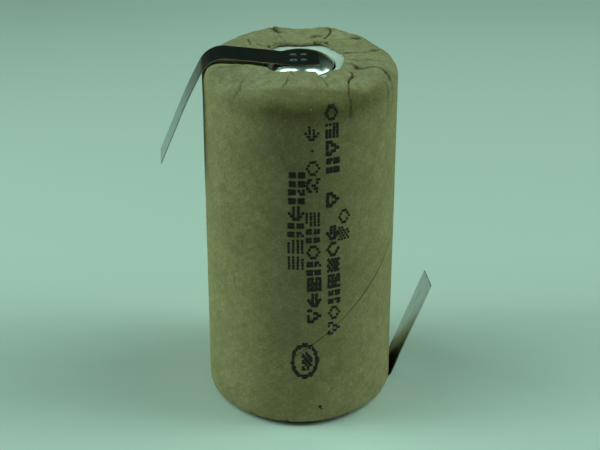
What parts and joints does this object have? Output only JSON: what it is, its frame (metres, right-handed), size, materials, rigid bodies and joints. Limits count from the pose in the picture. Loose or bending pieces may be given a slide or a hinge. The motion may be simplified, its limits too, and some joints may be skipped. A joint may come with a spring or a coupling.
{
  "type": "cylindrical battery cell",
  "caption": "Cylindrical rechargeable cell in a wound kraft-paper sleeve, with a button positive terminal and a bendable nickel solder tab welded to each end.",
  "frame": {"origin": "centre of the cell's resting face, on the cell's own axis; the tabs don't shift it", "axes": "+Z along the cell's axis from the negative base to the positive button; +X is the side on which the negative tab leaves the base, 8.4 degrees off +X, and the positive tab leaves the top towards -X"},
  "size_m": [0.0378, 0.026, 0.0513],
  "materials": {
    "kraft_paper": "matte wound kraft paper",
    "plated_steel": "nickel-plated, satin",
    "bright_nickel": "bright nickel plate",
    "nickel_strip": "rolled nickel strip",
    "white_fibre": "pressed white fibre",
    "moulded_plastic": "natural moulded polyamide",
    "black_rubber": "moulded rubber",
    "separator_fabric": "non-woven sheet",
    "electrode_sheet": "sintered, porous"
  },
  "bodies": {
    "cell": {"paper_sleeve": "kraft_paper", "steel_can": "plated_steel", "negative_electrode": "electrode_sheet", "positive_electrode": "electrode_sheet", "inner_separator": "separator_fabric", "outer_separator": "separator_fabric", "negative_collector": "plated_steel", "positive_collector": "plated_steel", "positive_lead": "nickel_strip", "top_insulator_ring": "moulded_plastic", "sealing_gasket": "moulded_plastic", "cover_plate": "plated_steel", "vent_spring": "plated_steel", "positive_cap": "bright_nickel", "insulating_washer": "white_fibre", "positive_tab_foot": "nickel_strip", "negative_tab_foot": "nickel_strip"},
    "vent_valve": {"vent_seal": "black_rubber", "vent_plate": "plated_steel"},
    "positive_leg": {"positive_tab_leg": "nickel_strip"},
    "negative_leg": {"negative_tab_leg": "nickel_strip"}
  },
  "joints": [
    {"name": "positive_tab_bend", "type": "hinge", "parent": "cell", "child": "positive_leg", "pos_m": [-0.01208, -0.00116, 0.05084], "axis": [-0.0889, 0.996, 0], "range_deg": [-15, 157]},
    {"name": "negative_tab_bend", "type": "hinge", "parent": "cell", "child": "negative_leg", "pos_m": [0.01275, 0.00131, 0.00022], "axis": [-0.1461, 0.9893, 0], "range_deg": [-10, 69.3]},
    {"name": "vent_lift", "type": "slide", "parent": "cell", "child": "vent_valve", "axis": [0, 0, 1], "range_m": [0, 0.0005], "stiffness_N_per_m": 30, "deforming": ["vent_spring"]}
  ]
}
